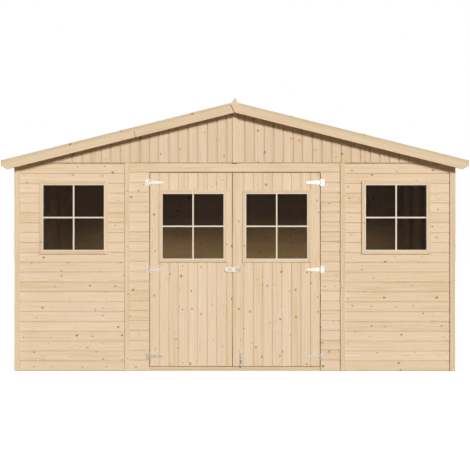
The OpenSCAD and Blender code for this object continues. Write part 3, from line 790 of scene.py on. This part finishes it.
# Nails on the outer faces of a node's solids, up the middle or, with an offset from its sides, up both sides
def nailDown(node, outward, look, offset=None):
    bm = bmesh.new()
    shape = nailShape(look)
    for low, high in boxesOf(node):
        middle = (low + high) / 2
        normal = outward * (1 if middle.dot(outward) > 0 else -1)
        face = Vector([high[i] if normal[i] > 0.5 else low[i] if normal[i] < -0.5 else middle[i]
                       for i in range(3)])
        half = (high.x - low.x) / 2
        lines = [offset * mm - half, half - offset * mm] if offset else [0]
        for sideways in lines:
            foot = Vector((face.x + sideways, face.y, low.z))
            head = Vector((face.x + sideways, face.y, high.z))
            places = placesAlong(foot, head, offset or look["inset"], look["spacing"])
            addCopies(bm, shape, places, normal)
    bpy.data.meshes.remove(shape)
    makePiece(node + "_nails", bm, zinc, frame["nodes"][node]["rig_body"],
              smooth=metalLook["smooth"])


nailLook = {"radius": 2.4, "height": 0.4, "inset": 35, "spacing": 420}
nailDown("end_wall_battens", backwards, nailLook)
nailDown("side_wall_battens", acrossFront, nailLook)
nailDown("window_trim", -backwards, nailLook, offset=15)
nailDown("left_door_trim", -backwards, nailLook, offset=13)
nailDown("right_door_trim", -backwards, nailLook, offset=13)

hingeScrew = {"radius": 3.2, "height": 1.2, "plate": 3}
haspScrew = {"radius": 2.6, "height": 1.1, "plate": 2.5}
boltScrew = {**haspScrew, "plate": 2}
strapSpots = [(-54, 0), (-20, 0), (16, 0), (44, -8), (44, 8)]
screwDown("hinge_plates", [(6, -19), (6, 19), (12, 0)], hingeScrew)
screwDown("left_hinge_straps", strapSpots, hingeScrew)
screwDown("right_hinge_straps", strapSpots, hingeScrew)
screwDown("hasp_plate", [(10, -14), (10, 14), (2, 0)], haspScrew)
screwDown("hasp_staple", [(-15, -10), (15, -10), (-15, 10), (15, 10)], haspScrew)
screwDown("bolt_plate", [(-12, -28), (12, -28), (-12, 20), (12, 20), (-12, 42), (12, 42)], boltScrew)
print("ironmongery dressed")


# A pale floor, a white studio and soft lamps: height and turn say where each lamp stands, in degrees
stageLook = {"floor": "#94897A", "paper": "#DADAD8", "size": 80, "glow": 0.68,
             "fill": 0.08, "fillColour": "#FFEBD0", "gloss": 0.4}
keyLook = {"height": 16, "turn": 13, "softness": 11, "level": 0.92}
backLook = {"height": 32, "turn": 152, "softness": 40, "level": 0.62}
sideLook = {"height": 30, "turn": -112, "softness": 40, "level": 0.42}


# How far a ray sees the white stage: whole by eye and through glass, and by a share in gloss
def seenDirectly(tree, gloss):
    rays = addNode(tree, "LightPath")
    dimmed = addNode(tree, "Math", {"operation": "MULTIPLY"},
                     {0: rays.outputs["Is Glossy Ray"], 1: gloss}).outputs[0]
    first = addNode(tree, "Math", {"operation": "MAXIMUM"},
                    {0: rays.outputs["Is Camera Ray"], 1: dimmed}).outputs[0]
    return addNode(tree, "Math", {"operation": "MAXIMUM"},
                   {0: first, 1: rays.outputs["Is Transmission Ray"]}).outputs[0]


def makeFloor():
    bm = bmesh.new()
    bmesh.ops.create_grid(bm, x_segments=8, y_segments=8, size=stageLook["size"] / 2)
    material, tree = startMaterial("pale_studio_floor")
    grey = addNode(tree, "BsdfDiffuse", {}, {"Color": linear(stageLook["floor"])})
    pale = addNode(tree, "BsdfDiffuse", {}, {"Color": linear(stageLook["paper"])})
    glow = addNode(tree, "Emission", {}, {"Strength": stageLook["glow"]})
    white = addNode(tree, "AddShader", {}, {0: pale.outputs[0], 1: glow.outputs[0]})
    both = addNode(tree, "MixShader", {}, {
        0: seenDirectly(tree, stageLook["gloss"]), 1: grey.outputs[0], 2: white.outputs[0]})
    addNode(tree, "OutputMaterial", {}, {"Surface": both.outputs[0]})
    mesh = bpy.data.meshes.new("floor")
    bm.to_mesh(mesh)
    bm.free()
    mesh.materials.append(material)
    ground = bpy.data.objects.new("floor", mesh)
    bpy.context.scene.collection.objects.link(ground)


def makeWorld():
    world = bpy.data.worlds.new("studio")
    world.use_nodes = True
    bpy.context.scene.world = world
    tree = world.node_tree
    tree.nodes.clear()
    warm = addNode(tree, "Background", {}, {
        "Color": linear(stageLook["fillColour"]), "Strength": stageLook["fill"]})
    white = addNode(tree, "Background", {}, {"Color": (1, 1, 1, 1), "Strength": 1.0})
    both = addNode(tree, "MixShader", {}, {
        0: seenDirectly(tree, 1.0), 1: warm.outputs[0], 2: white.outputs[0]})
    addNode(tree, "OutputWorld", {}, {"Surface": both.outputs[0]})


# A far soft lamp, which lights a white card that faces it to its level
def addLight(name, look):
    turn = math.radians(look["turn"])
    height = math.radians(look["height"])
    way = Vector((math.sin(turn) * math.cos(height), -math.cos(turn) * math.cos(height), math.sin(height)))
    lamp = bpy.data.lights.new(name, "SUN")
    lamp.angle = math.radians(look["softness"])
    lamp.energy = look["level"] * math.pi
    light = bpy.data.objects.new(name, lamp)
    light.rotation_euler = way.to_track_quat("Z", "Y").to_euler()
    bpy.context.scene.collection.objects.link(light)


# A low lamp just inside the front wall, which lifts the foot of the room's far wall
roomLook = {"wide": 3.4, "tall": 0.1, "height": 0.6, "inside": 0.15, "spread": 34,
            "power": 7.2, "colour": "#FFDDAE"}


def addRoomLight():
    lamp = bpy.data.lights.new("room", "AREA")
    lamp.shape = "RECTANGLE"
    lamp.size = roomLook["wide"]
    lamp.size_y = roomLook["tall"]
    lamp.spread = math.radians(roomLook["spread"])
    lamp.energy = roomLook["power"]
    lamp.color = linear(roomLook["colour"])[:3]
    light = bpy.data.objects.new("room", lamp)
    light.location = (0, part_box("front_left_boards")[1].y + roomLook["inside"], roomLook["height"])
    light.rotation_euler = (-backwards).to_track_quat("Z", "Y").to_euler()
    light.visible_camera = False
    light.visible_glossy = False
    light.visible_transmission = False
    bpy.context.scene.collection.objects.link(light)


# Level with the middle of the view, a long way off. Metres, and a sensor in mm
cameraLook = {"distance": 10.0, "height": 1.2135, "side": 0.0012, "viewWidth": 4.19,
              "sensor": 36, "farthest": 200}


def makeCamera():
    lens = bpy.data.cameras.new("camera")
    lens.sensor_width = cameraLook["sensor"]
    lens.lens = cameraLook["sensor"] * cameraLook["distance"] / cameraLook["viewWidth"]
    lens.clip_end = cameraLook["farthest"]
    camera = bpy.data.objects.new("camera", lens)
    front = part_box("front_left_boards")[0].y
    camera.location = (cameraLook["side"], front - cameraLook["distance"], cameraLook["height"])
    camera.rotation_euler = (math.radians(90), 0, 0)
    bpy.context.scene.collection.objects.link(camera)
    bpy.context.scene.camera = camera


makeFloor()
makeWorld()
addLight("key", keyLook)
addLight("back", backLook)
addLight("side", sideLook)
addRoomLight()
makeCamera()
bpy.context.scene.view_settings.view_transform = "Standard"
print("stage, lights and camera set")
